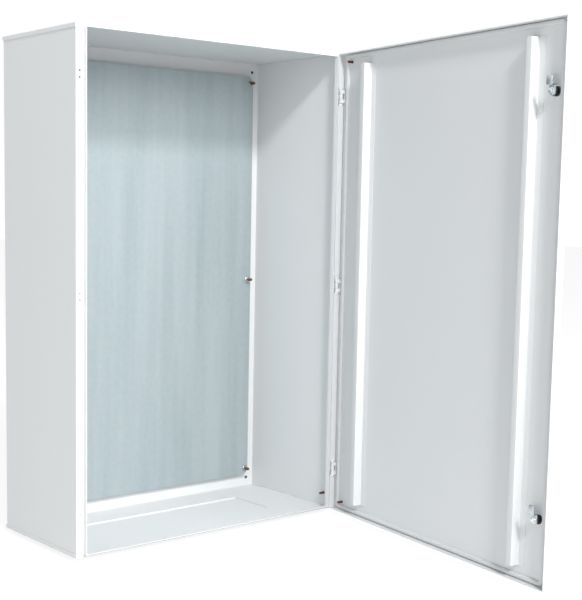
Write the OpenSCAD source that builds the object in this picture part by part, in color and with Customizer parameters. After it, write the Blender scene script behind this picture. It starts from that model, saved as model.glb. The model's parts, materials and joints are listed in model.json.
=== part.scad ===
// Wall-mounted steel enclosure with a hinged sheet-metal door.
// Millimetres, +Z up, front towards -Y. The origin is the centre of the four wall-fixing holes, on
// the outer face of the rear wall. The door is drawn closed and then swung open by open_angle.

/* [Body] */
// Width over the top and bottom trays
body_w = 800; // [600:50:1000]
// Height over the top and bottom trays
body_h = 1200; // [900:50:1400]
// Depth from the rear face to the front flange
body_d = 330; // [200:10:400]
// Sheet steel of the body
body_t = 1.5; // [1.2:0.1:2]
// Width of the front flange, from the side of the body to the gutter lip
flange_w = 20; // [19:0.5:24]
// Reach of the gutter lip in front of the flange
lip_h = 13; // [11:0.5:13.5]
// Turned-over edge of the trays, lapping the side walls
tray_edge = 10; // [6:1:20]
// Height of the trays' front flange
tray_flange = 8; // [7:0.5:9]
// Distance of the wall-fixing holes from the sides, top and bottom
fixing_inset = 25; // [18:1:40]
// Diameter of the wall-fixing holes
fixing_bore = 9; // [7:0.5:13]
// Length of one weld bead
weld_len = 22; // [10:1:40]
// Spacing of the weld beads
weld_spacing = 90; // [60:5:150]
// Leg of the weld beads
weld_leg = 2.5; // [2:0.25:3]

/* [Gland plate] */
// Width of the cable opening in the bottom tray
gland_w = 520; // [300:20:540]
// Depth of the cable opening in the bottom tray
gland_d = 140; // [100:5:145]
// Width of the sealing rim around the opening
gland_rim = 22; // [20:1:26]
// Thickness of the gland plate
gland_t = 2; // [1.5:0.5:4]
// Thickness of the gland plate's seal
gland_seal_t = 2; // [1.5:0.5:5]
// Thread diameter of the gland plate's studs
gland_stud_d = 6; // [5:1:6]

/* [Mounting plate] */
// Gap between the mounting plate and the sides of the body
plate_side_gap = 35; // [30:1:60]
// Gap between the mounting plate and the top and bottom of the body
plate_end_gap = 40; // [36:1:80]
// Thickness of the mounting plate
plate_t = 2.5; // [2:0.5:3]
// Stand-off of the mounting plate from the rear wall
plate_standoff = 15; // [10:1:30]
// Chamfer at the corners of the mounting plate
plate_chamfer = 12; // [4:1:14]
// Distance of the fixing studs from the plate's side edges
stud_side_inset = 12; // [11:0.5:20]
// Distance of the fixing studs from the plate's top and bottom edges
stud_end_inset = 18; // [17:0.5:30]
// Thread diameter of the fixing studs
stud_d = 8; // [6:1:8]
// Length of the fixing studs in front of the plate
stud_front_len = 20; // [16:1:30]

/* [Door] */
// Opening angle of the door at rest
open_angle = 81; // [0:1:115]
// Gap from the door's edge to the side of the body
door_side_gap = 1; // [1:0.25:2]
// Gap from the door's edge to the top and bottom of the body
door_end_gap = 2; // [1:0.5:3]
// Gap between the door's turned edge and the front flange
door_back_gap = 2; // [1.5:0.25:2.5]
// Depth of the door over its turned edges
door_depth = 20; // [19:0.25:21]
// Sheet steel of the door
door_t = 2; // [1.5:0.1:2.2]
// Width of the foamed seal
seal_w = 11; // [9:0.5:12]
// Gap between the seal and the gutter lip
seal_gap = 0.3; // [0.3:0.1:1]
// Width of the stiffening rails' crown
rail_crown = 14; // [10:1:20]
// Width of the rails' sloping sides
rail_side = 13; // [8:1:16]
// Width of the rails' flanges
rail_flange = 16; // [10:1:20]
// Height of the rails
rail_h = 11; // [7:0.5:14]
// Sheet steel of the rails
rail_t = 1.5; // [1.2:0.1:2]
// Distance of the hinge-side rail's middle from the door's edge
rail_hinge_inset = 103; // [100:1:140]
// Distance of the lock-side rail's middle from the door's edge
rail_lock_inset = 112; // [100:1:140]
// Distance of the rails' ends from the door's top and bottom edges
rail_end_inset = 32; // [25:1:60]

/* [Earth studs] */
// Thread diameter of the earth studs
earth_d = 6; // [5:1:8]
// Length of the earth studs
earth_len = 15; // [12:1:20]
// Distance of the body's earth stud behind the front flange
body_earth_in = 25; // [20:1:60]
// Distance of the body's earth stud from the bottom of the body
body_earth_end = 37; // [25:1:80]
// Distance of the door's earth studs from the hinged edge
door_earth_side = 36; // [32:1:45]
// Distance of the door's earth studs from its top and bottom edges
door_earth_end = 22; // [19:1:28]

/* [Hinges] */
// Distance of the outer hinges from the top and bottom of the body
hinge_inset = 110; // [80:5:160]
// Height of one hinge
hinge_h = 34; // [32:1:40]
// Height of the middle knuckle, fixed to the body
knuckle_h = 14; // [12:1:16]
// Radius of the knuckles
knuckle_r = 5; // [4.5:0.1:5]
// Diameter of the hinge pin
pin_d = 5; // [4:0.25:5.5]
// Distance of the pin in front of the flange
pin_out = 8; // [8:0.1:8.4]
// Distance of the pin from the side of the body
pin_inset = 5; // [5:0.1:5.5]
// Thickness of the body leaf
leaf_t = 2.5; // [2:0.25:2.75]
// Diameter of the hinge screws
hinge_screw_d = 5; // [4:0.5:5]

/* [Locks] */
// Distance of the locks from the door's top and bottom edges
lock_end = 148; // [80:5:250]
// Radius of the lock housing where it passes the door
lock_r = 9; // [8.75:0.25:9.5]
// Radius of the lock's outer head
lock_head_r = 14; // [12:0.5:16]
// Radius of the turning spindle
spindle_r = 5.5; // [5:0.25:5.75]
// Width of the cam
cam_w = 17; // [15:0.5:18]
// Thickness of the cam
cam_t = 3; // [2.5:0.25:3.5]
// Gap between the locked cam and the back of the flange
cam_gap = 0.3; // [0.2:0.1:1]

/* [Hidden] */

$fn = 48;
FOLD_STEPS = 4;
THROUGH = 1;
FIT = 0.05;

PAINT = "#dfe2e0";
GALVANISED = "#b9c3c6";
ZINC = "#c9c8c2";
COPPER = "#b07a4e";
DARK = "#3c3f40";
FOAM = "#c4c7c5";

// Body: half sizes and the middle planes of its sheets
half_w = body_w / 2;
half_h = body_h / 2;
half_t = body_t / 2;
fold_r = 1.5 * body_t;
lap_gap = 0.3;
tray_fold_r = half_t + 3.3 * lap_gap;
wall_x = half_w - body_t - lap_gap - half_t;
wall_h = body_h - 2 * (body_t + lap_gap);
lip_x = half_w - flange_w - half_t;
flange_y = -body_d + half_t;
lip_edge_y = -body_d - lip_h;
opening_z = half_h - tray_flange - body_t;
wall_in_x = wall_x - half_t;
tray_gap = 0.2;
fixing_x = half_w - fixing_inset;
fixing_z = half_h - fixing_inset;

// Door: outline, faces and hinge axis, all as drawn closed
door_w = body_w - 2 * door_side_gap;
door_h = body_h - 2 * door_end_gap;
door_back_y = -body_d - door_back_gap;
door_out_y = door_back_y - door_depth;
door_in_y = door_out_y + door_t;
door_fold_r = 1.5 * door_t;
hinge_x = half_w - pin_inset;
hinge_y = -body_d - pin_out;
hinge_z = half_h - hinge_inset;
seal_h = lip_edge_y - seal_gap - door_in_y;
seal_corner_r = 10;

// Hinge: sizes measured from the pin, x to the right and y to the rear
knuckle_gap = 0.3;
leaf_h = 30;
leaf_lip_gap = 1;
leaf_in_x = hinge_x - (half_w - flange_w + leaf_lip_gap);
leaf_out_x = 3;
web_in_x = 4;
leaf_gap = 0.3 * (door_fold_r - door_t);
screw_inset = 11;
screw_x = half_w - screw_inset - hinge_x;
screw_z = 7.5;
block_in_x = 7;
block_out_x = door_w / 2 - door_t - leaf_gap - hinge_x;
block_front_y = hinge_y - door_in_y - leaf_gap;
block_clear = knuckle_r + 2.5;
notch_h = hinge_h + 11;
notch_d = 13;
pin_head_r = 3.8;
pin_head_h = 1.5;
screw_head_h = 2.8;

// Locks: sizes measured from the door's inner face, z into the body and y up
lock_collar_r = lock_r + 3;
lock_seal_clear = 0.75;
lock_x = -(lip_x - seal_w / 2 - lock_seal_clear - lock_collar_r);
lock_z = door_h / 2 - lock_end;
lock_seal_t = 1;
lock_head_t = 3;
lock_len = 12;
lock_nut_flat = 2 * lock_r + 2;
lock_nut_h = 5;
lock_ring_h = 1;
disc_r = spindle_r + 2;
disc_t = 5.5;
square = 1.27 * spindle_r;
cam_low_z = lock_len + 0.3;
cam_high_z = -body_d + body_t + cam_gap - door_in_y;
cam_back = 9;
cam_wall_gap = 2;
cam_lip_gap = 3.5;
cam_reach = wall_in_x + lock_x - cam_wall_gap;
cam_crank = lip_x - half_t + lock_x - cam_lip_gap - cam_t / 2;
bolt_d = 6;
bolt_flat = 10;
bolt_head_h = 4;
washer_t = 1.6;
key_wall = 2;
key_depth = 3.5;
key_pin_r = 2;
key_bit_w = 9.2;
key_bit_t = 3;
bolt_hole_depth = 6;

// Mounting plate and its fixings
plate_w = body_w - 2 * plate_side_gap;
plate_h = body_h - 2 * plate_end_gap;
plate_back_y = -body_t - plate_standoff;
plate_front_y = plate_back_y - plate_t;
stud_x = plate_w / 2 - stud_side_inset;
stud_z = plate_h / 2 - stud_end_inset;
stud_len = plate_standoff + plate_t + stud_front_len;
stud_washer_r = stud_d;
stud_nut_flat = 1.625 * stud_d;
stud_nut_h = 0.8 * stud_d;
door_earth_x = door_w / 2 - door_earth_side;
door_earth_z = door_h / 2 - door_earth_end;
body_earth_y = -body_d + body_earth_in;
body_earth_z = -half_h + body_earth_end;

// Gland plate fixings
gland_x = gland_w / 2 + gland_rim / 2;
gland_y = gland_d / 2 + gland_rim / 2;
gland_mid_y = -body_d / 2;
gland_nut_flat = 1.667 * gland_stud_d;
gland_nut_h = 0.8 * gland_stud_d;
gland_low = -half_h - gland_seal_t - gland_t;

// ---------- sheet metal ----------

function heading(a, b) = atan2(b.y - a.y, b.x - a.x);

function turn(a, b, c) =
    let (d = heading(b, c) - heading(a, b))
    d > 180 ? d - 360 : d < -180 ? d + 360 : d;

function left(angle) = [-sin(angle), cos(angle)];

// Middle line of a folded sheet as [point, heading] stops, with an arc of radius r at each fold
function fold_stops(path, r) = [
    [path[0], heading(path[0], path[1])],
    for (i = [1:len(path) - 2])
        let (
            start = heading(path[i - 1], path[i]),
            bend = turn(path[i - 1], path[i], path[i + 1]),
            side = sign(bend),
            back = r * tan(abs(bend) / 2),
            middle = path[i] - back * [cos(start), sin(start)] + side * r * left(start)
        )
        for (k = [0:FOLD_STEPS])
            let (angle = start + bend * k / FOLD_STEPS)
            [middle - side * r * left(angle), angle],
    [path[len(path) - 1], heading(path[len(path) - 2], path[len(path) - 1])],
];

// Section of a sheet of thickness t folded along a path
module fold_section(path, t, r) {
    stops = fold_stops(path, r);
    last = len(stops) - 1;
    polygon(concat(
        [for (s = stops) s[0] + t / 2 * left(s[1])],
        [for (i = [last:-1:0]) stops[i][0] - t / 2 * left(stops[i][1])]
    ));
}

// A section drawn in X and Z, run from y0 back to y1
module run_y(y0, y1) {
    translate([0, y1, 0]) rotate([90, 0, 0]) linear_extrude(y1 - y0) children();
}

// A section drawn in Y and Z, run over the width w about the middle
module run_x(w) {
    translate([-w / 2, 0, 0]) rotate([90, 0, 90]) linear_extrude(w) children();
}

// A section drawn in X and Y, run over the height h about the middle
module run_z(h) {
    translate([0, 0, -h / 2]) linear_extrude(h) children();
}

// Bar along Y at a place, used for holes and round parts that face front or rear
module rod_y(x, y0, y1, z, r) {
    translate([x, y1, z]) rotate([90, 0, 0]) cylinder(r = r, h = y1 - y0);
}

module hex(flat, h) {
    cylinder(d = flat / cos(30), h = h, $fn = 6);
}

// Outline of a pan, open to the rear: w wide, from y0 at the front to y1, with rounded front edges
module pan_section(w, y0, y1, r) {
    polygon(concat(
        [[-w / 2, y1]],
        [for (k = [0:FOLD_STEPS]) let (a = 180 + 90 * k / FOLD_STEPS)
            [-w / 2 + r + r * cos(a), y0 + r + r * sin(a)]],
        [for (k = [0:FOLD_STEPS]) let (a = 270 + 90 * k / FOLD_STEPS)
            [w / 2 - r + r * cos(a), y0 + r + r * sin(a)]],
        [[w / 2, y1]]
    ));
}

// Solid bounded by two crossing pan outlines, so its corners meet in mitres
module pan_block(w, h, y0, y1, r) {
    intersection() {
        run_z(h + 2 * THROUGH) pan_section(w, y0, y1, r);
        run_x(w + 2 * THROUGH) mirror([1, -1, 0]) pan_section(h, y0, y1, r);
    }
}

// ---------- body ----------

module case_wrap() {
    path = [
        [-lip_x, lip_edge_y], [-lip_x, flange_y], [-wall_x, flange_y], [-wall_x, -half_t],
        [wall_x, -half_t], [wall_x, flange_y], [lip_x, flange_y], [lip_x, lip_edge_y],
    ];
    corner_w = 2 * (lip_x + half_t + tray_gap);
    color(PAINT) difference() {
        run_z(wall_h) fold_section(path, body_t, fold_r);
        // the trays' own flange and lip take the ends of the gutter
        for (side = [-1, 1])
            translate([-corner_w / 2, lip_edge_y - THROUGH, side > 0 ? opening_z : -half_h])
                cube([corner_w, lip_h + THROUGH + 4 * body_t, half_h - opening_z]);
        for (x = [-fixing_x, fixing_x], z = [-fixing_z, fixing_z])
            rod_y(x, -body_t - THROUGH, THROUGH, z, fixing_bore / 2);
        // hinge screw holes, on both flanges because the door can be hung on either side
        for (side = [-1, 1], z = [-hinge_z, 0, hinge_z], dz = [-screw_z, screw_z])
            rod_y(side * (hinge_x + screw_x), -body_d - THROUGH, -body_d + body_t + THROUGH,
                z + dz, hinge_screw_d / 2 + 0.25);
    }
}

// Top tray: cap with turned-over sides, and the front flange and lip between the gutters
module tray() {
    cap_x = half_w - half_t;
    cap_z = half_h - half_t;
    front_w = body_w - 2 * flange_w;
    lead = 2 * fold_r;
    lip_z = opening_z + half_t;
    difference() {
        run_y(-body_d, 0)
            fold_section([[-cap_x, half_h - tray_edge], [-cap_x, cap_z], [cap_x, cap_z],
                [cap_x, half_h - tray_edge]], body_t, tray_fold_r);
        translate([-front_w / 2, -body_d - THROUGH, half_h - 2 * tray_edge])
            cube([front_w, lead + THROUGH, 3 * tray_edge]);
    }
    run_x(front_w)
        fold_section([[-body_d + lead, cap_z], [flange_y, cap_z], [flange_y, lip_z],
            [lip_edge_y, lip_z]], body_t, fold_r);
}

module top_panel() {
    color(PAINT) tray();
}

module bottom_panel() {
    color(PAINT) difference() {
        mirror([0, 0, 1]) tray();
        translate([-gland_w / 2, gland_mid_y - gland_d / 2, -half_h - THROUGH])
            cube([gland_w, gland_d, body_t + 2 * THROUGH]);
    }
}

// Three-cornered bead that fills the angle between a tray and a wall
module weld_bead() {
    rotate([90, 0, 90]) linear_extrude(weld_len, center = true)
        polygon([[0, 0], [-weld_leg, 0], [0, -weld_leg]]);
}

module seam_welds() {
    rear_count = floor((body_w - 4 * fixing_inset) / weld_spacing);
    side_count = floor((body_d - 4 * fixing_inset) / weld_spacing);
    color(PAINT) for (end = [0, 1]) mirror([0, 0, end]) {
        for (i = [0:rear_count])
            translate([(i - rear_count / 2) * weld_spacing, -body_t, half_h - body_t]) weld_bead();
        for (side = [-1, 1], i = [0:side_count])
            translate([side * wall_in_x, -body_d / 2 + (i - side_count / 2) * weld_spacing, half_h - body_t])
                rotate([0, 0, -90 * side]) weld_bead();
    }
}

// ---------- gland plate, under the bottom tray ----------

module at_gland_studs() {
    for (x = [-1, -1 / 3, 1 / 3, 1], y = [-1, 1])
        translate([x * gland_x, gland_mid_y + y * gland_y, 0]) children();
}

// Sheet that covers the opening and its rim, with a hole of radius r at each stud
module gland_sheet(low, t, r) {
    difference() {
        translate([-gland_w / 2 - gland_rim, gland_mid_y - gland_d / 2 - gland_rim, low])
            cube([gland_w + 2 * gland_rim, gland_d + 2 * gland_rim, t]);
        at_gland_studs() translate([0, 0, low - THROUGH]) cylinder(r = r, h = t + 2 * THROUGH);
    }
}

module gland_seal() {
    low = -half_h - gland_seal_t;
    color(FOAM) difference() {
        gland_sheet(low, gland_seal_t, 0.62 * gland_stud_d + 0.2);
        translate([-gland_w / 2, gland_mid_y - gland_d / 2, low - THROUGH])
            cube([gland_w, gland_d, gland_seal_t + 2 * THROUGH]);
    }
}

module gland_plate() {
    color(PAINT) gland_sheet(gland_low, gland_t, gland_stud_d / 2 + 0.4);
}

module gland_studs() {
    length = -half_h - gland_low + gland_nut_h + 3;
    color(COPPER) at_gland_studs()
        translate([0, 0, -half_h]) mirror([0, 0, 1]) weld_stud(gland_stud_d, length);
}

module gland_nuts() {
    color(ZINC) at_gland_studs() translate([0, 0, gland_low - gland_nut_h]) difference() {
        hex(gland_nut_flat, gland_nut_h);
        translate([0, 0, -THROUGH]) cylinder(d = gland_stud_d + 0.2, h = gland_nut_h + 2 * THROUGH);
    }
}

// ---------- mounting plate ----------

module at_plate_studs() {
    for (x = [-stud_x, stud_x], z = [-stud_z, 0, stud_z]) translate([x, 0, z]) children();
}

module mounting_plate() {
    w = plate_w / 2;
    h = plate_h / 2;
    c = plate_chamfer;
    color(GALVANISED) difference() {
        run_y(plate_front_y, plate_back_y)
            polygon([[-w + c, -h], [w - c, -h], [w, -h + c], [w, h - c],
                [w - c, h], [-w + c, h], [-w, h - c], [-w, -h + c]]);
        at_plate_studs()
            rod_y(0, plate_front_y - THROUGH, plate_back_y + THROUGH, 0, stud_d / 2 + 0.5);
    }
}

// Welded stud: threaded shank with a chamfered tip, standing along +Z from its weld flange
module weld_stud(d, length) {
    tip = 0.12 * d;
    rotate_extrude() polygon([[0, 0], [0.62 * d, 0], [0.62 * d, 0.1 * d], [d / 2, 0.1 * d],
        [d / 2, length - tip], [d / 2 - tip, length], [0, length]]);
}

module plate_studs() {
    color(COPPER) at_plate_studs()
        translate([0, -body_t, 0]) rotate([90, 0, 0]) weld_stud(stud_d, stud_len);
}

module plate_spacers() {
    color(ZINC) at_plate_studs() difference() {
        rod_y(0, plate_back_y, -body_t, 0, stud_washer_r);
        rod_y(0, plate_back_y - THROUGH, -body_t + THROUGH, 0, 0.62 * stud_d + 0.2);
    }
}

module plate_washers() {
    color(ZINC) at_plate_studs() difference() {
        rod_y(0, plate_front_y - washer_t, plate_front_y, 0, stud_washer_r);
        rod_y(0, plate_front_y - washer_t - THROUGH, plate_front_y + THROUGH, 0, stud_d / 2 + 0.2);
    }
}

module plate_nuts() {
    seat = plate_front_y - washer_t;
    color(ZINC) at_plate_studs() translate([0, seat, 0]) rotate([90, 0, 0]) difference() {
        hex(stud_nut_flat, stud_nut_h);
        translate([0, 0, -THROUGH]) cylinder(d = stud_d + 0.2, h = stud_nut_h + 2 * THROUGH);
    }
}

module body_earth_stud() {
    color(COPPER) translate([wall_in_x, body_earth_y, body_earth_z])
        rotate([0, -90, 0]) weld_stud(earth_d, earth_len);
}

// ---------- hinges, body side ----------

module hinge_frame(z) {
    color(PAINT) translate([hinge_x, hinge_y, z]) difference() {
        union() {
            cylinder(r = knuckle_r, h = knuckle_h - knuckle_gap, center = true);
            translate([-web_in_x, 0, -(knuckle_h - knuckle_gap) / 2])
                cube([web_in_x + leaf_out_x, pin_out, knuckle_h - knuckle_gap]);
            translate([-leaf_in_x, pin_out - leaf_t, -leaf_h / 2])
                cube([leaf_in_x + leaf_out_x, leaf_t, leaf_h]);
        }
        cylinder(d = pin_d + 2 * FIT, h = hinge_h, center = true);
        for (dz = [-screw_z, screw_z])
            rod_y(screw_x, pin_out - leaf_t - THROUGH, pin_out + THROUGH, dz, hinge_screw_d / 2 + 0.1);
    }
}

module hinge_frame_upper() {
    hinge_frame(hinge_z);
}

module hinge_frame_middle() {
    hinge_frame(0);
}

module hinge_frame_lower() {
    hinge_frame(-hinge_z);
}

module hinge_pin(z) {
    top = hinge_h / 2 + knuckle_gap;
    tip = 0.6;
    color(ZINC) translate([hinge_x, hinge_y, z]) rotate_extrude()
        polygon([[0, -hinge_h / 2 - 1], [pin_d / 2 - tip, -hinge_h / 2 - 1],
            [pin_d / 2, -hinge_h / 2 - 1 + tip], [pin_d / 2, top], [pin_head_r, top],
            [pin_head_r, top + pin_head_h - tip], [pin_head_r - tip, top + pin_head_h],
            [0, top + pin_head_h]]);
}

module hinge_pin_upper() {
    hinge_pin(hinge_z);
}

module hinge_pin_middle() {
    hinge_pin(0);
}

module hinge_pin_lower() {
    hinge_pin(-hinge_z);
}

module hinge_screws() {
    head_y = -body_d + body_t;
    color(ZINC) for (z = [-hinge_z, 0, hinge_z], dz = [-screw_z, screw_z]) {
        rod_y(hinge_x + screw_x, -body_d - leaf_t, head_y + THROUGH, z + dz, hinge_screw_d / 2);
        rod_y(hinge_x + screw_x, head_y, head_y + screw_head_h, z + dz, 0.85 * hinge_screw_d);
    }
}

// ---------- door ----------

module at_door() {
    translate([hinge_x, hinge_y, 0]) rotate([0, 0, open_angle]) translate([-hinge_x, -hinge_y, 0])
        children();
}

module door_panel() {
    color(PAINT) at_door() difference() {
        pan_block(door_w, door_h, door_out_y, door_back_y, door_fold_r);
        pan_block(door_w - 2 * door_t, door_h - 2 * door_t, door_in_y, door_back_y + THROUGH,
            door_fold_r - door_t);
        for (z = [-lock_z, lock_z])
            rod_y(lock_x, door_out_y - THROUGH, door_in_y + THROUGH, z, lock_r + 0.25);
        // the turned edge is notched where the hinge knuckles stand
        for (z = [-hinge_z, 0, hinge_z])
            translate([door_w / 2 - door_t - THROUGH, door_back_y - notch_d, z - notch_h / 2])
                cube([door_t + 2 * THROUGH, notch_d + THROUGH, notch_h]);
    }
}

// Section of the foamed seal: flat on the door and domed towards the lip
module seal_section() {
    polygon(concat([[-seal_w / 2, 0], [seal_w / 2, 0]],
        [for (k = [0:8]) let (a = 22.5 * k)
            [seal_w / 2 * cos(a), seal_h * (0.35 + 0.65 * sin(a))]]));
}

module door_seal() {
    run_w = 2 * lip_x - 2 * seal_corner_r;
    seal_z = door_h / 2 - door_fold_r - seal_w / 2;
    run_h = 2 * seal_z - 2 * seal_corner_r;
    color(FOAM) at_door() translate([0, door_in_y, 0]) rotate([-90, 0, 0]) {
        for (side = [-1, 1]) {
            translate([side * lip_x, 0, 0]) rotate([90, 0, 0])
                linear_extrude(run_h, center = true) seal_section();
            translate([0, side * seal_z, 0]) rotate([90, 0, 90])
                linear_extrude(run_w, center = true) seal_section();
        }
        for (x = [-1, 1], y = [-1, 1])
            translate([x * run_w / 2, y * run_h / 2, 0])
                rotate([0, 0, x > 0 ? (y > 0 ? 0 : -90) : (y > 0 ? 90 : 180)])
                    rotate_extrude(angle = 90) translate([seal_corner_r, 0]) seal_section();
    }
}

// Stiffening rail: a hat section spot-welded to the door's inner face
module rail(x) {
    low = door_in_y + rail_t / 2;
    high = door_in_y + rail_h - rail_t / 2;
    foot = rail_crown / 2 + rail_side;
    edge = foot + rail_flange;
    color(PAINT) at_door() translate([x, 0, 0])
        run_z(door_h - 2 * rail_end_inset)
            fold_section([[-edge, low], [-foot, low], [-rail_crown / 2, high],
                [rail_crown / 2, high], [foot, low], [edge, low]], rail_t, 1.5 * rail_t);
}

module rail_hinge_side() {
    rail(door_w / 2 - rail_hinge_inset);
}

module rail_lock_side() {
    rail(rail_lock_inset - door_w / 2);
}

module door_earth_studs() {
    color(COPPER) at_door() for (z = [-door_earth_z, door_earth_z])
        translate([door_earth_x, door_in_y, z]) rotate([-90, 0, 0]) weld_stud(earth_d, earth_len);
}

// Door leaf: two knuckles on a block that is welded into the corner of the pan
module hinge_leaf(z) {
    arm_h = (hinge_h - knuckle_h - knuckle_gap) / 2;
    color(PAINT) at_door() translate([hinge_x, hinge_y, z]) difference() {
        union() {
            for (side = [-1, 1])
                translate([0, 0, side * (hinge_h - arm_h) / 2]) {
                    cylinder(r = knuckle_r, h = arm_h, center = true);
                    translate([-block_in_x, -block_front_y, -arm_h / 2])
                        cube([block_in_x + block_out_x, block_front_y, arm_h]);
                }
            translate([-block_in_x, -block_front_y, -hinge_h / 2])
                cube([block_in_x + block_out_x, block_front_y - block_clear, hinge_h]);
        }
        cylinder(d = pin_d + 2 * FIT, h = hinge_h + 2 * THROUGH, center = true);
    }
}

module hinge_leaf_upper() {
    hinge_leaf(hinge_z);
}

module hinge_leaf_middle() {
    hinge_leaf(0);
}

module hinge_leaf_lower() {
    hinge_leaf(-hinge_z);
}

// ---------- quarter-turn locks ----------

// Local frame of a lock: z runs from the door's inner face into the body, y is up and x is towards
// the door's free edge
module at_lock(z) {
    at_door() translate([lock_x, door_in_y, z]) rotate([-90, 0, 0]) rotate([0, 0, 180]) children();
}

module lock_housing(z) {
    head_low = -door_t - lock_seal_t - lock_head_t;
    color(DARK) at_lock(z) rotate_extrude()
        polygon([[spindle_r + FIT, 0], [disc_r + FIT, 0], [disc_r + FIT, head_low],
            [lock_head_r - 0.8, head_low], [lock_head_r, head_low + 0.8],
            [lock_head_r, head_low + lock_head_t], [lock_r, head_low + lock_head_t],
            [lock_r, lock_len - 0.8], [lock_r - 0.8, lock_len], [spindle_r + FIT, lock_len]]);
}

module lock_housing_upper() {
    lock_housing(lock_z);
}

module lock_housing_lower() {
    lock_housing(-lock_z);
}

module lock_seal(z) {
    color(DARK) at_lock(z) translate([0, 0, -door_t - lock_seal_t]) difference() {
        cylinder(r = lock_head_r - 0.5, h = lock_seal_t);
        translate([0, 0, -THROUGH]) cylinder(r = lock_r + 0.1, h = lock_seal_t + 2 * THROUGH);
    }
}

module lock_seal_upper() {
    lock_seal(lock_z);
}

module lock_seal_lower() {
    lock_seal(-lock_z);
}

// Hexagon nut with a collar, clamping the housing to the door
module lock_nut(z) {
    color(DARK) at_lock(z) difference() {
        union() {
            cylinder(r = lock_collar_r, h = lock_ring_h);
            hex(lock_nut_flat, lock_ring_h + lock_nut_h);
        }
        translate([0, 0, -THROUGH])
            cylinder(r = lock_r + 0.1, h = lock_ring_h + lock_nut_h + 2 * THROUGH);
    }
}

module lock_nut_upper() {
    lock_nut(lock_z);
}

module lock_nut_lower() {
    lock_nut(-lock_z);
}

// Spindle with a double-bit insert at the front and a square for the cam at the back
module spindle(z) {
    front = -door_t - lock_seal_t - lock_head_t + 0.3;
    color(ZINC) at_lock(z) {
        difference() {
            union() {
                translate([0, 0, front]) cylinder(r = disc_r, h = -front - 0.1);
                translate([0, 0, -THROUGH]) cylinder(r = spindle_r, h = lock_len + 0.2 + THROUGH);
                translate([-square / 2, -square / 2, lock_len - THROUGH])
                    cube([square, square, cam_t + THROUGH]);
            }
            translate([0, 0, front - THROUGH])
                cylinder(r = disc_r - key_wall, h = key_depth + THROUGH);
            translate([0, 0, lock_len - bolt_hole_depth])
                cylinder(d = bolt_d + 2 * FIT, h = bolt_hole_depth + cam_t + THROUGH);
        }
        translate([0, 0, front + 0.5]) {
            cylinder(r = key_pin_r, h = key_depth);
            translate([-key_bit_w / 2, -key_bit_t / 2, 0]) cube([key_bit_w, key_bit_t, key_depth]);
        }
    }
}

module spindle_upper() {
    spindle(lock_z);
}

module spindle_lower() {
    spindle(-lock_z);
}

// Cranked cam: it turns up when unlocked, and behind the body's flange when locked
module cam(z) {
    low = cam_low_z + cam_t / 2;
    high = cam_high_z + cam_t / 2;
    nose = 4;
    color(ZINC) at_lock(z) difference() {
        intersection() {
            run_x(cam_w) fold_section([[-cam_back, low], [cam_crank, low], [cam_crank, high],
                [cam_reach, high]], cam_t, cam_t);
            linear_extrude(cam_high_z + 2 * cam_t)
                polygon([[-cam_w / 2 + nose, -cam_back], [cam_w / 2 - nose, -cam_back],
                    [cam_w / 2, nose - cam_back], [cam_w / 2, cam_reach - nose],
                    [cam_w / 2 - nose, cam_reach], [nose - cam_w / 2, cam_reach],
                    [-cam_w / 2, cam_reach - nose], [-cam_w / 2, nose - cam_back]]);
        }
        translate([-square / 2 - FIT, -square / 2 - FIT, 0])
            cube([square + 2 * FIT, square + 2 * FIT, cam_low_z + cam_t + THROUGH]);
    }
}

module cam_upper() {
    cam(lock_z);
}

module cam_lower() {
    cam(-lock_z);
}

module cam_washer(z) {
    color(ZINC) at_lock(z) translate([0, 0, cam_low_z + cam_t]) difference() {
        cylinder(r = 1.25 * bolt_d, h = washer_t);
        translate([0, 0, -THROUGH]) cylinder(d = bolt_d + 0.4, h = washer_t + 2 * THROUGH);
    }
}

module cam_washer_upper() {
    cam_washer(lock_z);
}

module cam_washer_lower() {
    cam_washer(-lock_z);
}

module cam_bolt(z) {
    seat = cam_low_z + cam_t + washer_t;
    tip = lock_len - bolt_hole_depth + 1;
    color(ZINC) at_lock(z) {
        translate([0, 0, seat]) hex(bolt_flat, bolt_head_h);
        translate([0, 0, tip]) cylinder(d = bolt_d, h = seat - tip + THROUGH);
    }
}

module cam_bolt_upper() {
    cam_bolt(lock_z);
}

module cam_bolt_lower() {
    cam_bolt(-lock_z);
}

case_wrap();
top_panel();
bottom_panel();
seam_welds();
gland_seal();
gland_plate();
gland_studs();
gland_nuts();
mounting_plate();
plate_studs();
plate_spacers();
plate_washers();
plate_nuts();
body_earth_stud();
hinge_frame_upper();
hinge_frame_middle();
hinge_frame_lower();
hinge_pin_upper();
hinge_pin_middle();
hinge_pin_lower();
hinge_screws();
door_panel();
door_seal();
rail_hinge_side();
rail_lock_side();
door_earth_studs();
hinge_leaf_upper();
hinge_leaf_middle();
hinge_leaf_lower();
lock_housing_upper();
lock_housing_lower();
lock_seal_upper();
lock_seal_lower();
lock_nut_upper();
lock_nut_lower();
spindle_upper();
spindle_lower();
cam_upper();
cam_lower();
cam_washer_upper();
cam_washer_lower();
cam_bolt_upper();
cam_bolt_lower();
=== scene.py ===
import math

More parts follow.
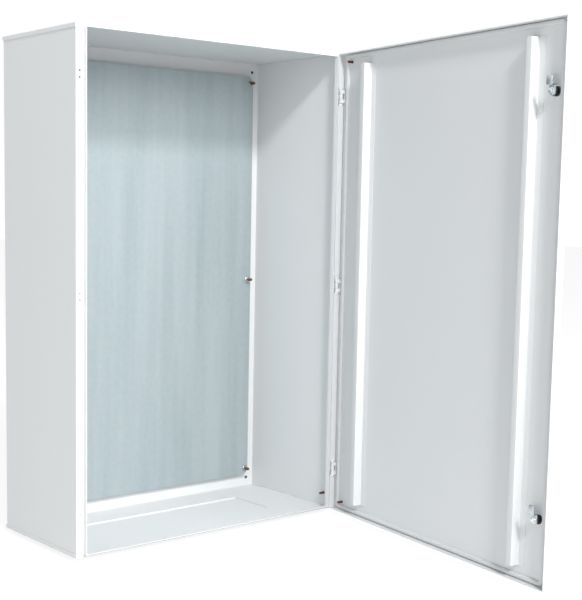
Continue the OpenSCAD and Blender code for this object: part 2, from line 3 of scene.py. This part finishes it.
import bpy
from mathutils import Matrix, Vector
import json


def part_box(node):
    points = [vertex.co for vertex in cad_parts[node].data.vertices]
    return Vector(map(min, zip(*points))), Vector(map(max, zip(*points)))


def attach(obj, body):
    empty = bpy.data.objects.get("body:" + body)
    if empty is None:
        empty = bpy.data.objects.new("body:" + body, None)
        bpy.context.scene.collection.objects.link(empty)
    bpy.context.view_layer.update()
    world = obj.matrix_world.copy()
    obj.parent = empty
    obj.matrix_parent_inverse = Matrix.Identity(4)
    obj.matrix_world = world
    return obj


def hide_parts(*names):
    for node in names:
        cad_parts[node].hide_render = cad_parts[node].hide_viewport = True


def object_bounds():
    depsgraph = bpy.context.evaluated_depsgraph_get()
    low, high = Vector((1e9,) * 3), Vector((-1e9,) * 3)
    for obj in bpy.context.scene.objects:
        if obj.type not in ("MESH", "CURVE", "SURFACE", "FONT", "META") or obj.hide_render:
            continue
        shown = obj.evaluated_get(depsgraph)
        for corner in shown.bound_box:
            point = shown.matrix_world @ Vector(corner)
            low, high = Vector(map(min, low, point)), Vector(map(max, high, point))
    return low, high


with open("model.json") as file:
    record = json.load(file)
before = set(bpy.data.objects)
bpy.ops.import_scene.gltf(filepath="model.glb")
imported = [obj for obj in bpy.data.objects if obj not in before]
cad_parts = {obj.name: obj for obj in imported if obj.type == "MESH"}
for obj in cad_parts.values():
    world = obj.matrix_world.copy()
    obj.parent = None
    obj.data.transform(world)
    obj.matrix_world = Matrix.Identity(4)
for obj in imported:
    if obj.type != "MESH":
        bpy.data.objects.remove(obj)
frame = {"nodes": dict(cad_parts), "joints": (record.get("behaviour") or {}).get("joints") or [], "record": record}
cad_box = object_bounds()
bpy.ops.object.select_all(action="DESELECT")
scene = bpy.context.scene
scene.view_settings.view_transform = "Standard"

# ---------- camera ----------
# Stands to the left of the open door, a little above the middle of the body, and looks in.
CAMERA_AT = Vector((-1.8034, -2.6175, 0.2125))
CAMERA_YAW = math.radians(38.85)
CAMERA_PITCH = math.radians(6.44)
CAMERA_ROLL = math.radians(0.77)
FOCAL_SHARE = 1.99725

forward = Vector((
    math.sin(CAMERA_YAW) * math.cos(CAMERA_PITCH),
    math.cos(CAMERA_YAW) * math.cos(CAMERA_PITCH),
    -math.sin(CAMERA_PITCH),
))
level = Vector((math.cos(CAMERA_YAW), -math.sin(CAMERA_YAW), 0))
upright = level.cross(forward)
side = level * math.cos(CAMERA_ROLL) + upright * math.sin(CAMERA_ROLL)
top = upright * math.cos(CAMERA_ROLL) - level * math.sin(CAMERA_ROLL)
lens = bpy.data.cameras.new("camera")
lens.sensor_width = 36
lens.lens = FOCAL_SHARE * lens.sensor_width
lens.shift_x = 0.1039
lens.shift_y = 0.064
lens.clip_end = 60
camera = bpy.data.objects.new("camera", lens)
scene.collection.objects.link(camera)
facing = Matrix((side, top, -forward)).transposed().to_4x4()
camera.matrix_world = Matrix.Translation(CAMERA_AT) @ facing
scene.camera = camera

# ---------- floor and light ----------
# A pale seamless floor under the body that keeps a soft shadow, a key light from the front, high on
# the left, and two large weak panels, one on the left and one in front.
FLOOR_GAP = 0.001
FLOOR_SIZE = 40
FLOOR_Z = cad_box[0].z - FLOOR_GAP
FLOOR_GLOW = 0.84


def node_material(name):
    mat = bpy.data.materials.new(name)
    mat.use_nodes = True
    nodes = mat.node_tree.nodes
    return mat, nodes, mat.node_tree.links, nodes["Principled BSDF"]


def seen_rays(tree):
    """1 for rays from the camera, and for what metal and glass show."""
    path = tree.nodes.new("ShaderNodeLightPath")
    seen = tree.nodes.new("ShaderNodeMath")
    seen.operation = "ADD"
    tree.links.new(path.outputs["Is Camera Ray"], seen.inputs[0])
    tree.links.new(path.outputs["Is Glossy Ray"], seen.inputs[1])
    through = tree.nodes.new("ShaderNodeMath")
    through.operation = "ADD"
    through.use_clamp = True
    tree.links.new(seen.outputs[0], through.inputs[0])
    tree.links.new(path.outputs["Is Transmission Ray"], through.inputs[1])
    return through.outputs[0]


bpy.ops.mesh.primitive_plane_add(size=FLOOR_SIZE, location=(0, 0, FLOOR_Z))
floor = bpy.context.object
floor.name = "floor"
mat, nodes, links, shader = node_material("pale_floor")
shader.inputs["Base Color"].default_value = (0.75, 0.75, 0.75, 1)
shader.inputs["Roughness"].default_value = 0.9
shade = nodes.new("ShaderNodeBsdfDiffuse")
shade.inputs["Color"].default_value = (0.28, 0.28, 0.28, 1)
glow = nodes.new("ShaderNodeEmission")
glow.inputs["Strength"].default_value = FLOOR_GLOW
pale = nodes.new("ShaderNodeAddShader")
links.new(shade.outputs[0], pale.inputs[0])
links.new(glow.outputs[0], pale.inputs[1])
mix = nodes.new("ShaderNodeMixShader")
links.new(seen_rays(mat.node_tree), mix.inputs[0])
links.new(shader.outputs[0], mix.inputs[1])
links.new(pale.outputs[0], mix.inputs[2])
links.new(mix.outputs[0], nodes["Material Output"].inputs["Surface"])
floor.data.materials.append(mat)

world = bpy.data.worlds.new("studio")
scene.world = world
world.use_nodes = True
tree = world.node_tree
soft = tree.nodes["Background"]
soft.inputs["Color"].default_value = (0.95, 0.975, 1.0, 1)
soft.inputs["Strength"].default_value = 0.365
white = tree.nodes.new("ShaderNodeBackground")
white.inputs["Color"].default_value = (1, 1, 1, 1)
mix = tree.nodes.new("ShaderNodeMixShader")
tree.links.new(seen_rays(tree), mix.inputs[0])
tree.links.new(soft.outputs[0], mix.inputs[1])
tree.links.new(white.outputs[0], mix.inputs[2])
tree.links.new(mix.outputs[0], tree.nodes["World Output"].inputs["Surface"])


def lamp(name, place, aim, size, power):
    light = bpy.data.lights.new(name, "AREA")
    light.size = size
    light.energy = power
    lit = bpy.data.objects.new(name, light)
    scene.collection.objects.link(lit)
    lit.location = place
    lit.rotation_euler = (Vector(aim) - Vector(place)).to_track_quat("-Z", "Y").to_euler()


lamp("key_light", (-1.99, -6.17, 4.66), (0, -0.4, 0), 0.9, 390)
lamp("left_panel", (-4.9, -1.9, 0.2), (0.2, -0.6, 0), 3.0, 70)
lamp("front_panel", (0.1, -5.4, 2.0), (0, -0.3, 0), 2.6, 215)

# ---------- painted sheet steel ----------
# Body, trays and door are folded from sheet steel and powder coated light grey. The coat is satin,
# with a faint orange peel that shows in the highlights.
GREY = (0.71, 0.725, 0.73)
CLOUDING = 0.015


def powder_coat(name, colour):
    mat, nodes, links, shader = node_material(name)
    place = nodes.new("ShaderNodeTexCoord")
    cloud = nodes.new("ShaderNodeTexNoise")
    cloud.inputs["Scale"].default_value = 2.5
    cloud.inputs["Detail"].default_value = 3
    links.new(place.outputs["Object"], cloud.inputs["Vector"])
    tone = nodes.new("ShaderNodeMix")
    tone.data_type = "RGBA"
    tone.inputs["A"].default_value = (*(c * (1 - CLOUDING) for c in colour), 1)
    tone.inputs["B"].default_value = (*(min(c * (1 + CLOUDING), 1) for c in colour), 1)
    links.new(cloud.outputs["Fac"], tone.inputs["Factor"])
    links.new(tone.outputs["Result"], shader.inputs["Base Color"])
    peel = nodes.new("ShaderNodeTexNoise")
    peel.inputs["Scale"].default_value = 420
    peel.inputs["Detail"].default_value = 2
    links.new(place.outputs["Object"], peel.inputs["Vector"])
    bump = nodes.new("ShaderNodeBump")
    bump.inputs["Strength"].default_value = 0.12
    bump.inputs["Distance"].default_value = 0.0004
    links.new(peel.outputs["Fac"], bump.inputs["Height"])
    links.new(bump.outputs["Normal"], shader.inputs["Normal"])
    shader.inputs["Roughness"].default_value = 0.42
    shader.inputs["Specular IOR Level"].default_value = 0.35
    return mat


PAINT = powder_coat("light_grey_powder_coat", GREY)


def finish_nodes(mat, *names):
    for name in names:
        for slot in frame["nodes"][name].material_slots:
            slot.material = mat


finish_nodes(PAINT, "case_wrap", "top_panel", "bottom_panel", "gland_plate", "door_panel")

# ---------- weld beads ----------
# Short stitch welds join the trays to the walls. Each bead is a ground, painted fillet, so its edges
# are rounded over.
WELD_EASE = 0.0006
SAME_PLACE = 0.00001
FLAT_ANGLE = math.radians(1)
FOLD_ANGLE = math.radians(30)


def eased_copy(node, body, mat, ease, steps=2):
    """A copy of a rigid node, merged and with its hard edges rounded over."""
    original = frame["nodes"][node]
    piece = bpy.data.objects.new(node + "_finished", original.data.copy())
    scene.collection.objects.link(piece)
    bpy.ops.object.select_all(action="DESELECT")
    piece.select_set(True)
    bpy.context.view_layer.objects.active = piece
    bpy.ops.object.mode_set(mode="EDIT")
    bpy.ops.mesh.select_all(action="SELECT")
    bpy.ops.mesh.remove_doubles(threshold=SAME_PLACE)
    bpy.ops.mesh.dissolve_limited(angle_limit=FLAT_ANGLE)
    bpy.ops.mesh.normals_make_consistent(inside=False)
    bpy.ops.object.mode_set(mode="OBJECT")
    round_over = piece.modifiers.new("round_over", "BEVEL")
    round_over.width = ease
    round_over.segments = steps
    round_over.limit_method = "ANGLE"
    round_over.angle_limit = FOLD_ANGLE
    bpy.ops.object.modifier_apply(modifier="round_over")
    bpy.ops.object.shade_smooth_by_angle(angle=FOLD_ANGLE)
    piece.data.materials.clear()
    piece.data.materials.append(mat)
    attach(piece, body)
    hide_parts(node)
    return piece


eased_copy("seam_welds", "root", PAINT, WELD_EASE)

# ---------- mounting plate ----------
# A flat galvanised sheet. The zinc has soft upright streaks from the dip and a fine spangle.
mat, nodes, links, shader = node_material("galvanised_sheet")
place = nodes.new("ShaderNodeTexCoord")
stretch = nodes.new("ShaderNodeMapping")
stretch.inputs["Scale"].default_value = (26, 26, 1.6)
links.new(place.outputs["Object"], stretch.inputs["Vector"])
streaks = nodes.new("ShaderNodeTexNoise")
streaks.inputs["Scale"].default_value = 1
streaks.inputs["Detail"].default_value = 5
links.new(stretch.outputs["Vector"], streaks.inputs["Vector"])
spangle = nodes.new("ShaderNodeTexVoronoi")
spangle.inputs["Scale"].default_value = 70
links.new(place.outputs["Object"], spangle.inputs["Vector"])
grain = nodes.new("ShaderNodeMath")
grain.operation = "MULTIPLY_ADD"
grain.inputs[1].default_value = 0.16
links.new(spangle.outputs["Distance"], grain.inputs[0])
links.new(streaks.outputs["Fac"], grain.inputs[2])
ramp = nodes.new("ShaderNodeValToRGB")
ramp.color_ramp.elements[0].position = 0.32
ramp.color_ramp.elements[0].color = (0.295, 0.350, 0.365, 1)
ramp.color_ramp.elements[1].position = 0.78
ramp.color_ramp.elements[1].color = (0.365, 0.420, 0.440, 1)
links.new(grain.outputs[0], ramp.inputs["Fac"])
links.new(ramp.outputs["Color"], shader.inputs["Base Color"])
shader.inputs["Metallic"].default_value = 0.12
shader.inputs["Roughness"].default_value = 0.45
finish_nodes(mat, "mounting_plate")

# ---------- plate fixings ----------
# Copper-flashed M8 studs are welded to the rear wall, with a spacer behind the plate and a zinc-plated
# washer and nut in front of it. The threads are rolled, with rounded crests.
M8 = 0.008
NUT_EASE = 0.0005
WASHER_EASE = 0.0003
POLISH_SPREAD = 0.2


def metal(name, colour, roughness, metallic=1.0, scuff=0.08):
    """Bare or plated metal, a little uneven in tone and in polish."""
    mat, nodes, links, shader = node_material(name)
    place = nodes.new("ShaderNodeTexCoord")
    wear = nodes.new("ShaderNodeTexNoise")
    wear.inputs["Scale"].default_value = 260
    wear.inputs["Detail"].default_value = 3
    links.new(place.outputs["Object"], wear.inputs["Vector"])
    tone = nodes.new("ShaderNodeMix")
    tone.data_type = "RGBA"
    tone.inputs["A"].default_value = (*(c * (1 - scuff) for c in colour), 1)
    tone.inputs["B"].default_value = (*(min(c * (1 + scuff), 1) for c in colour), 1)
    links.new(wear.outputs["Fac"], tone.inputs["Factor"])
    links.new(tone.outputs["Result"], shader.inputs["Base Color"])
    polish = nodes.new("ShaderNodeMapRange")
    polish.inputs["To Min"].default_value = roughness * (1 - POLISH_SPREAD)
    polish.inputs["To Max"].default_value = roughness * (1 + POLISH_SPREAD)
    links.new(wear.outputs["Fac"], polish.inputs["Value"])
    links.new(polish.outputs["Result"], shader.inputs["Roughness"])
    shader.inputs["Metallic"].default_value = metallic
    return mat


COPPER = metal("copper_flashing", (0.22, 0.085, 0.055), 0.42, 0.8)
ZINC = metal("zinc_plating", (0.56, 0.60, 0.63), 0.26)


THREAD_SIDES = 20


def turned(name, outline, at, towards, sides=THREAD_SIDES):
    """A turned piece: outline holds radius and height pairs from its foot up, along towards."""
    radius, height = outline[0]
    bpy.ops.object.select_all(action="DESELECT")
    bpy.ops.mesh.primitive_circle_add(vertices=sides, radius=radius, fill_type="NGON",
                                      location=(0, 0, height))
    piece = bpy.context.object
    piece.name = name
    bpy.ops.object.mode_set(mode="EDIT")
    bpy.ops.mesh.select_all(action="SELECT")
    for next_radius, next_height in outline[1:]:
        bpy.ops.mesh.extrude_region_move(
            TRANSFORM_OT_translate={"value": (0, 0, next_height - height)})
        share = next_radius / radius
        bpy.ops.transform.resize(value=(share, share, 1), center_override=(0, 0, next_height))
        radius, height = next_radius, next_height
    bpy.ops.mesh.select_all(action="SELECT")
    bpy.ops.mesh.normals_make_consistent(inside=False)
    bpy.ops.object.mode_set(mode="OBJECT")
    lean = Vector(towards).to_track_quat("Z", "Y").to_matrix().to_4x4()
    piece.matrix_world = Matrix.Translation(at) @ lean @ piece.matrix_world
    bpy.ops.object.transform_apply(location=True, rotation=True, scale=True)
    bpy.ops.object.shade_smooth_by_angle(angle=FOLD_ANGLE)
    return piece


# Shares of the thread's diameter, and below them shares of its pitch, counted along one turn.
FLANGE_RADIUS = 0.62
FLANGE_HEIGHT = 0.1
PLAIN_TIP = 0.12
PITCH = 0.16
THREAD_DEPTH = 0.6
TURN_START = 0.3
CREST_START = 0.3
CREST_END = 0.48
TURN_END = 0.75
TIP_TAPER = 0.9
FLANGE_STEP = 0.0001


def stud_outline(thread, length):
    """Weld flange, shank and rolled thread of a stud, with a tapered tip."""
    pitch = PITCH * thread
    crest = thread / 2
    root = crest - THREAD_DEPTH * pitch
    foot = FLANGE_HEIGHT * thread
    flange = FLANGE_RADIUS * thread
    outline = [(flange, 0), (flange, foot), (root, foot + FLANGE_STEP)]
    turns = int((length - foot - PLAIN_TIP * thread) / pitch)
    for k in range(turns):
        start = foot + (k + TURN_START) * pitch
        outline += [(root, start), (crest, start + CREST_START * pitch),
                    (crest, start + CREST_END * pitch), (root, start + TURN_END * pitch)]
    return outline + [(root * TIP_TAPER, length)]


def joined(name, parts, body, slot, mat, *nodes):
    """Several like parts as one piece on a body."""
    bpy.ops.object.select_all(action="DESELECT")
    for part in parts:
        part.select_set(True)
    bpy.context.view_layer.objects.active = parts[0]
    if len(parts) > 1:
        bpy.ops.object.join()
    piece = parts[0]
    piece.name = name
    piece.data.materials.append(mat)
    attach(piece, body)
    if nodes:
        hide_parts(*nodes)
    return piece


low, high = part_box("plate_studs")
reach = FLANGE_RADIUS * M8
stud_xs = (low.x + reach, high.x - reach)
stud_zs = (low.z + reach, 0, high.z - reach)
parts = [turned("plate_stud", stud_outline(M8, high.y - low.y), (x, high.y, z), (0, -1, 0))
         for x in stud_xs for z in stud_zs]
joined("plate_studs_threaded", parts, "root", "copper_stud", COPPER, "plate_studs")
eased_copy("plate_nuts", "root", ZINC, NUT_EASE)
eased_copy("plate_washers", "root", ZINC, WASHER_EASE)
finish_nodes(ZINC, "plate_spacers")

# ---------- painted shade in the wall fixings ---
# Black discs shaped as push-in plugs fill the wall-fixing holes. Their black is painted shade, standing for the
# dark of the open holes. Each is pushed in flush with the sheet and has a shallow dish.
SHADE_PLUG_RADIUS = 0.0043
SHADE_PLUG_SIDES = 32
SHADE_PLUG_FOOT = 0.0002
SHADE_PLUG_SHOULDER = 0.001
DISH_RIM = (0.86, 0.0012)
DISH_FLOOR = (0.6, 0.0009)
MM = 0.001


def plain_plastic(name, colour, roughness):
    mat, nodes, links, shader = node_material(name)
    place = nodes.new("ShaderNodeTexCoord")
    grain = nodes.new("ShaderNodeTexNoise")
    grain.inputs["Scale"].default_value = 900
    links.new(place.outputs["Object"], grain.inputs["Vector"])
    bump = nodes.new("ShaderNodeBump")
    bump.inputs["Strength"].default_value = 0.2
    bump.inputs["Distance"].default_value = 0.0001
    links.new(grain.outputs["Fac"], bump.inputs["Height"])
    links.new(bump.outputs["Normal"], shader.inputs["Normal"])
    shader.inputs["Base Color"].default_value = (*colour, 1)
    shader.inputs["Roughness"].default_value = roughness
    return mat


# Plain black used as painted shade: it stands for the dark seen through the open wall-fixing holes.
SHADE_BLACK = plain_plastic("painted_shade_black", (0.02, 0.02, 0.022), 0.45)
fixings = next(m for m in frame["record"]["mounts"] if m["name"] == "wall_fixings")
fixing_x = fixings["dims"]["spacing_x_mm"] * MM / 2
fixing_z = fixings["dims"]["spacing_y_mm"] * MM / 2
shade_plug = [(SHADE_PLUG_RADIUS, SHADE_PLUG_FOOT), (SHADE_PLUG_RADIUS, SHADE_PLUG_SHOULDER)]
shade_plug += [(SHADE_PLUG_RADIUS * share, height) for share, height in (DISH_RIM, DISH_FLOOR)]
parts = [turned("shade_plug", shade_plug, (x, 0, z), (0, -1, 0), SHADE_PLUG_SIDES)
         for x in (-fixing_x, fixing_x) for z in (-fixing_z, fixing_z)]
# The joined discs are painted shade that fills the four wall-fixing holes.
joined("fixing_holes_painted_shade", parts, "root", "black_rubber", SHADE_BLACK)

# ---------- gland plate fixings ----------
# Eight M6 weld studs and nuts hold the gland plate and its foamed seal up against the bottom tray.
M6 = 0.006
STUDS_A_ROW = 4
GLAND_NUT_EASE = 0.0004
low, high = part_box("gland_studs")
reach = FLANGE_RADIUS * M6
outline = stud_outline(M6, high.z - low.z)
parts = []
for k in range(STUDS_A_ROW):
    for y in (low.y + reach, high.y - reach):
        x = low.x + reach + (high.x - low.x - 2 * reach) * k / (STUDS_A_ROW - 1)
        parts.append(turned("gland_stud", outline, (x, y, high.z), (0, 0, -1)))
joined("gland_studs_threaded", parts, "root", "copper_stud", COPPER, "gland_studs")
eased_copy("gland_nuts", "root", ZINC, GLAND_NUT_EASE)

# ---------- door frame of reference ----------
# The door is drawn open. Its own pieces are modelled as if it were closed, front to -Y, and then
# swung about the hinge pins with the door.
hinge = next(joint for joint in frame["joints"] if joint["name"] == "door_hinge")
PIN = Vector(hinge["pos_m"])
OPENED = (Matrix.Translation(PIN) @ Matrix.Rotation(-math.radians(hinge["range_deg"][0]), 4, "Z")
          @ Matrix.Translation(-PIN))


def closed_box(node):
    """Lowest and highest corners of a door node as they are with the door closed."""
    back = OPENED.inverted()
    places = [back @ v.co for v in frame["nodes"][node].data.vertices]
    return (Vector([min(p[i] for p in places) for i in range(3)]),
            Vector([max(p[i] for p in places) for i in range(3)]))


def swing(piece):
    piece.matrix_world = OPENED @ piece.matrix_world
    bpy.ops.object.select_all(action="DESELECT")
    piece.select_set(True)
    bpy.context.view_layer.objects.active = piece
    bpy.ops.object.transform_apply(location=True, rotation=True, scale=True)


# ---------- stiffening rails ----------
# Two deep hat rails of folded sheet, spot-welded to the door's inner face along both flanges. They
# stand inside the strips that the plain rails take up.
RAIL_SHEET = 0.001
RAIL_CROWN = 0.015
RAIL_SIDE = 0.002
RAIL_HEIGHT = 0.022
RAIL_FLANGE = 0.017
RAIL_FOLD = 0.0005
FOLD_STEPS = 4
HARD_ANGLE = math.radians(60)
RAIL_OFFSET = {"rail_hinge_side": -0.007, "rail_lock_side": -0.009}
SPOT_PITCH = 0.1
SPOT_SIDES = 16
SPOT_OUTLINE = [(0.00325, 0), (0.0026, 0.0002), (0.00208, 0.00012), (0.00078, 0.00008)]


def folded_strip(name, start, first, length, runs, sheet, fold):
    """Sheet standing along Z: a first strip from start, then one for each run in X and Y."""
    bpy.ops.object.select_all(action="DESELECT")
    bpy.ops.mesh.primitive_plane_add(size=1, rotation=(math.radians(90), 0, 0))
    piece = bpy.context.object
    piece.name = name
    bpy.ops.object.transform_apply(rotation=True)
    piece.scale = (first, 1, length)
    piece.location = (start.x + first / 2, start.y, start.z + length / 2)
    bpy.ops.object.transform_apply(location=True, rotation=False, scale=True)
    far = start.x + first
    for vert in piece.data.vertices:
        vert.select = vert.co.x > far - SAME_PLACE
    for edge in piece.data.edges:
        edge.select = all(piece.data.vertices[k].select for k in edge.vertices)
    for face in piece.data.polygons:
        face.select = False
    bpy.ops.object.mode_set(mode="EDIT")
    bpy.ops.mesh.select_mode(type="EDGE")
    for x, y in runs:
        bpy.ops.mesh.extrude_region_move(TRANSFORM_OT_translate={"value": (x, y, 0)})
    bpy.ops.mesh.select_all(action="SELECT")
    bpy.ops.object.mode_set(mode="OBJECT")
    wall = piece.modifiers.new("wall", "SOLIDIFY")
    wall.thickness = sheet
    wall.offset = 0
    wall.use_even_offset = True
    bpy.ops.object.modifier_apply(modifier="wall")
    bend = piece.modifiers.new("bend", "BEVEL")
    bend.width = fold
    bend.segments = FOLD_STEPS
    bend.limit_method = "ANGLE"
    bend.angle_limit = HARD_ANGLE
    bend.use_clamp_overlap = True
    bpy.ops.object.modifier_apply(modifier="bend")
    bpy.ops.object.mode_set(mode="EDIT")
    bpy.ops.mesh.select_all(action="SELECT")
    bpy.ops.mesh.normals_make_consistent(inside=False)
    bpy.ops.object.mode_set(mode="OBJECT")
    bpy.ops.object.shade_smooth_by_angle(angle=FOLD_ANGLE)
    return piece


for node, offset in RAIL_OFFSET.items():
    low, high = closed_box(node)
    middle = (low.x + high.x) / 2 + offset
    face_y = low.y
    half_width = RAIL_CROWN / 2 + RAIL_SIDE + RAIL_FLANGE
    start = Vector((middle - half_width, face_y + RAIL_SHEET / 2, low.z))
    rise = RAIL_HEIGHT - RAIL_SHEET
    runs = [(RAIL_SIDE, rise), (RAIL_CROWN, 0), (RAIL_SIDE, -rise), (RAIL_FLANGE, 0)]
    length = high.z - low.z
    rail = folded_strip(node + "_folded", start, RAIL_FLANGE, length, runs, RAIL_SHEET, RAIL_FOLD)
    swing(rail)
    joined(node + "_folded", [rail], "door", "painted_grey", PAINT, node)
    spots = int(length / SPOT_PITCH)
    parts = []
    for x in (start.x + RAIL_FLANGE / 2, 2 * middle - start.x - RAIL_FLANGE / 2):
        for k in range(spots + 1):
            at = (x, face_y + RAIL_SHEET, (k - spots / 2) * SPOT_PITCH)
            parts.append(turned("spot", SPOT_OUTLINE, at, (0, 1, 0), SPOT_SIDES))
            swing(parts[-1])
    joined(node + "_spot_welds", parts, "door", "painted_grey", PAINT)

# ---------- hinges ----------
# Steel hinges, painted with the body and the door. The middle knuckle is on the body, and a plated pin
# with a chamfered head drops through all three.
HINGE_EASE = 0.0006
PIN_EASE = 0.0003
SCREW_EASE = 0.0005
ROUND_STEPS = 3
for level in ("upper", "middle", "lower"):
    eased_copy(f"hinge_frame_{level}", "root", PAINT, HINGE_EASE, ROUND_STEPS)
    eased_copy(f"hinge_leaf_{level}", "door", PAINT, HINGE_EASE, ROUND_STEPS)
    eased_copy(f"hinge_pin_{level}", "root", ZINC, PIN_EASE)
eased_copy("hinge_screws", "root", ZINC, SCREW_EASE)

# ---------- earth studs ----------
# Copper-flashed M6 studs on the door and the right wall, for the earthing leads.
low, high = closed_box("door_earth_studs")
reach = FLANGE_RADIUS * M6
outline = stud_outline(M6, high.y - low.y)
parts = [turned("door_stud", outline, (low.x + reach, low.y, z), (0, 1, 0))
         for z in (low.z + reach, high.z - reach)]
for part in parts:
    swing(part)
joined("door_earth_studs_threaded", parts, "door", "copper_stud", COPPER, "door_earth_studs")
low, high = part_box("body_earth_stud")
middle = (low + high) / 2
outline = stud_outline(M6, high.x - low.x)
stud = turned("body_stud", outline, (high.x, middle.y, middle.z), (-1, 0, 0))
joined("body_earth_stud_threaded", [stud], "root", "copper_stud", COPPER, "body_earth_stud")

# ---------- seals ----------
# Foamed polyurethane, laid as one bead round the door and on the gland plate. The skin is matt, with
# fine pores.
foam, nodes, links, shader = node_material("foamed_seal")
place = nodes.new("ShaderNodeTexCoord")
pores = nodes.new("ShaderNodeTexVoronoi")
pores.inputs["Scale"].default_value = 900
links.new(place.outputs["Object"], pores.inputs["Vector"])
bump = nodes.new("ShaderNodeBump")
bump.inputs["Strength"].default_value = 0.5
bump.inputs["Distance"].default_value = 0.0004
links.new(pores.outputs["Distance"], bump.inputs["Height"])
links.new(bump.outputs["Normal"], shader.inputs["Normal"])
tone = nodes.new("ShaderNodeMix")
tone.data_type = "RGBA"
tone.inputs["A"].default_value = (0.62, 0.635, 0.64, 1)
tone.inputs["B"].default_value = (0.70, 0.715, 0.72, 1)
links.new(pores.outputs["Distance"], tone.inputs["Factor"])
links.new(tone.outputs["Result"], shader.inputs["Base Color"])
shader.inputs["Roughness"].default_value = 0.85
finish_nodes(foam, "door_seal", "gland_seal")

# ---------- quarter-turn locks ----------
# A black lacquered housing passes the door and is clamped by a black nut on a bright collar. The plated
# spindle carries a cranked cam, held by a washer and a hexagon bolt.
LACQUER = plain_plastic("black_lacquer", (0.012, 0.012, 0.014), 0.16)
RUBBER = plain_plastic("black_rubber", (0.025, 0.025, 0.025), 0.8)
CHROME = metal("nickel_plating", (0.74, 0.78, 0.80), 0.14, 1.0, 0.04)
COLLAR = 0.0012
HOUSING_EASE = 0.0004
LOCK_NUT_EASE = 0.0005
SPINDLE_EASE = 0.0002
CAM_EASE = 0.0006
CAM_WASHER_EASE = 0.0003
BOLT_EASE = 0.0006
door_inner_y = closed_box("door_seal")[0].y
for level in ("upper", "lower"):
    eased_copy(f"lock_housing_{level}", "door", LACQUER, HOUSING_EASE)
    nut = eased_copy(f"lock_nut_{level}", "door", LACQUER, LOCK_NUT_EASE)
    nut.data.materials.append(CHROME)
    back = OPENED.inverted()
    for face in nut.data.polygons:
        if (back @ face.center).y < door_inner_y + COLLAR:
            face.material_index = 1
    eased_copy(f"spindle_{level}", f"lock_{level}", CHROME, SPINDLE_EASE)
    eased_copy(f"cam_{level}", f"lock_{level}", ZINC, CAM_EASE, ROUND_STEPS)
    eased_copy(f"cam_washer_{level}", f"lock_{level}", CHROME, CAM_WASHER_EASE)
    eased_copy(f"cam_bolt_{level}", f"lock_{level}", CHROME, BOLT_EASE, ROUND_STEPS)
    finish_nodes(RUBBER, f"lock_seal_{level}")

import json
